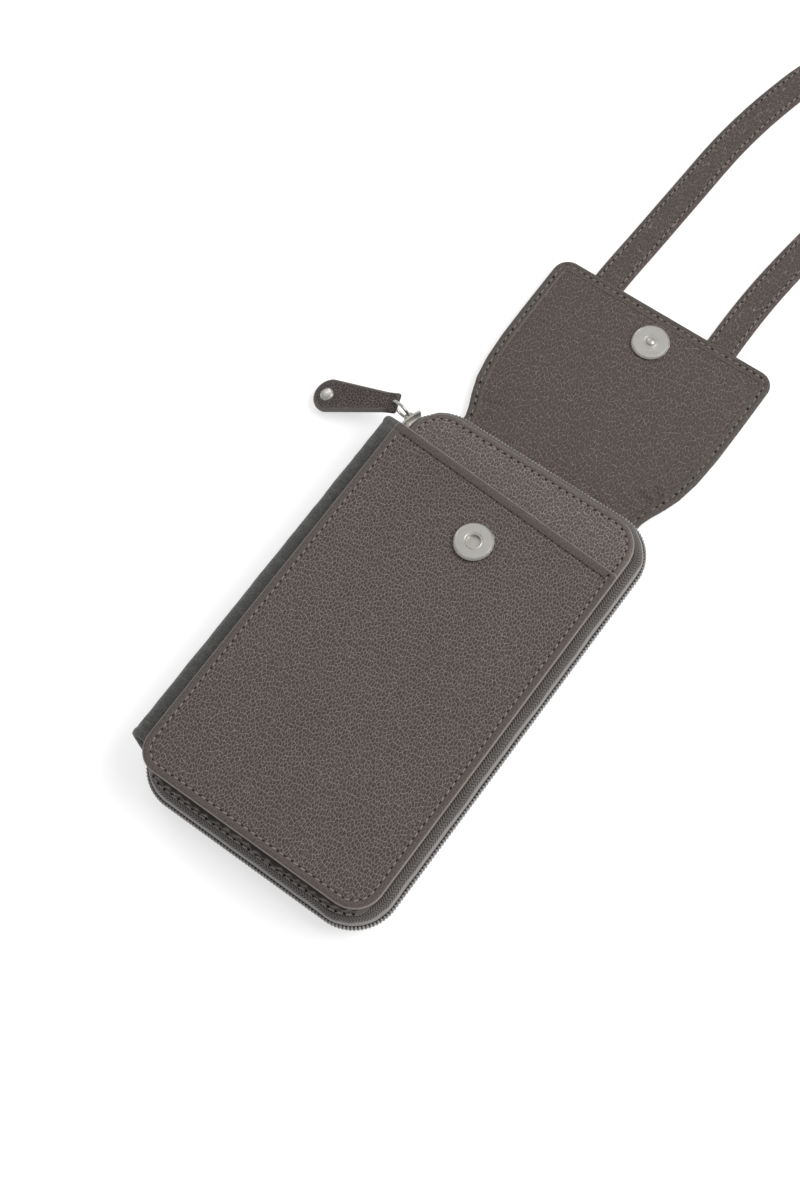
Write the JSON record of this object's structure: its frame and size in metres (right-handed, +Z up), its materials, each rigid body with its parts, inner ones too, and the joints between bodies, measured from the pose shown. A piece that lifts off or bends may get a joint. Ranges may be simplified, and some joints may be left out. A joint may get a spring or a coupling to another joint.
{
  "type": "phone pouch",
  "caption": "Flat leather pouch with a phone pocket on its front, a fold-over flap with a magnetic snap, a zip round three sides and a long shoulder strap.",
  "frame": {"origin": "middle of the outer face of the back cover, on which the pouch lies", "axes": "+X from the spine to the zip side, +Y towards the flap, +Z up through the phone pocket"},
  "size_m": [0.1484, 0.5236, 0.0318],
  "materials": {
    "cover_leather": "pebbled, semi-matt",
    "spine_leather": "fine wrinkled, semi-matt",
    "pull_leather": "smooth grain, semi-matt",
    "strap_leather": "pebbled, painted edges",
    "flap_lining": "soft pebbled, semi-matt",
    "inner_lining": "smooth, semi-matt",
    "board": "bare stiffening board",
    "zip_tape": "woven herringbone",
    "zip_coil": "coil teeth",
    "nickel": "satin nickel plating"
  },
  "bodies": {
    "back_half": {"back_cover": "cover_leather", "back_board": "board", "back_lining": "inner_lining", "card_slot_low": "inner_lining", "card_slot_mid": "inner_lining", "card_slot_top": "inner_lining", "zip_tape_back": "zip_tape", "zip_teeth_back": "zip_coil", "zip_stops": "nickel", "flap_root": "cover_leather", "strap_left": "strap_leather", "strap_right": "strap_leather", "strap_coil": "strap_leather"},
    "spine": {"spine": "spine_leather", "spine_board": "board"},
    "front_half": {"front_cover": "cover_leather", "front_board": "board", "front_lining": "inner_lining", "bill_pocket": "inner_lining", "zip_tape_front": "zip_tape", "zip_teeth_front": "zip_coil", "gusset_left": "cover_leather", "gusset_bottom": "cover_leather", "gusset_right": "cover_leather", "pocket_panel": "cover_leather", "pocket_snap": "nickel", "pocket_snap_washer": "nickel"},
    "flap_bridge": {"flap_bridge_skin": "cover_leather", "flap_bridge_lining": "flap_lining"},
    "flap_slope": {"flap_slope_skin": "cover_leather", "flap_slope_lining": "flap_lining"},
    "flap_front": {"flap_front_skin": "cover_leather", "flap_front_lining": "flap_lining", "flap_stiffener": "board", "flap_snap": "nickel", "flap_snap_washer": "nickel"},
    "slider": {"zip_slider": "nickel"},
    "ring": {"pull_ring": "nickel"},
    "tab": {"pull_tab": "pull_leather", "pull_rivet": "nickel"}
  },
  "joints": [
    {"name": "spine_fold", "type": "hinge", "parent": "back_half", "child": "spine", "pos_m": [-0.0582, 0, 0.00075], "axis": [0, -1, 0], "range_deg": [0, 30]},
    {"name": "cover_open", "type": "hinge", "parent": "spine", "child": "front_half", "pos_m": [-0.0582, 0, 0.02025], "axis": [0, -1, 0], "range_deg": [0, 60]},
    {"name": "flap_fold", "type": "hinge", "parent": "back_half", "child": "flap_bridge", "pos_m": [0, 0.0941, 0.0034], "axis": [1, 0, 0], "range_deg": [0, 90]},
    {"name": "flap_bend", "type": "hinge", "parent": "flap_bridge", "child": "flap_slope", "pos_m": [0, 0.1092, 0.0034], "axis": [1, 0, 0], "range_deg": [0, 58]},
    {"name": "flap_turn", "type": "hinge", "parent": "flap_slope", "child": "flap_front", "pos_m": [0, 0.13854, 0.0034], "axis": [1, 0, 0], "range_deg": [0, 32]},
    {"name": "zip_run", "type": "hinge", "parent": "back_half", "child": "slider", "pos_m": [-0.0355, 0.0745, 0.0105], "axis": [0, 0, 1], "range_deg": [-35, 0]},
    {"name": "ring_swing", "type": "hinge", "parent": "slider", "child": "ring", "pos_m": [-0.05478, 0.08054, 0.012], "axis": [0, 0, 1], "range_deg": [-50, 0]},
    {"name": "tab_lift", "type": "hinge", "parent": "ring", "child": "tab", "pos_m": [-0.05892, 0.0812, 0.012], "axis": [0.1564, 0.9877, 0], "range_deg": [0, 45]}
  ],
  "couplings": [
    {"joint": "cover_open", "follows": "spine_fold", "ratio": 2},
    {"joint": "flap_bend", "follows": "flap_fold", "ratio": 0.6444},
    {"joint": "flap_turn", "follows": "flap_fold", "ratio": 0.3555}
  ]
}
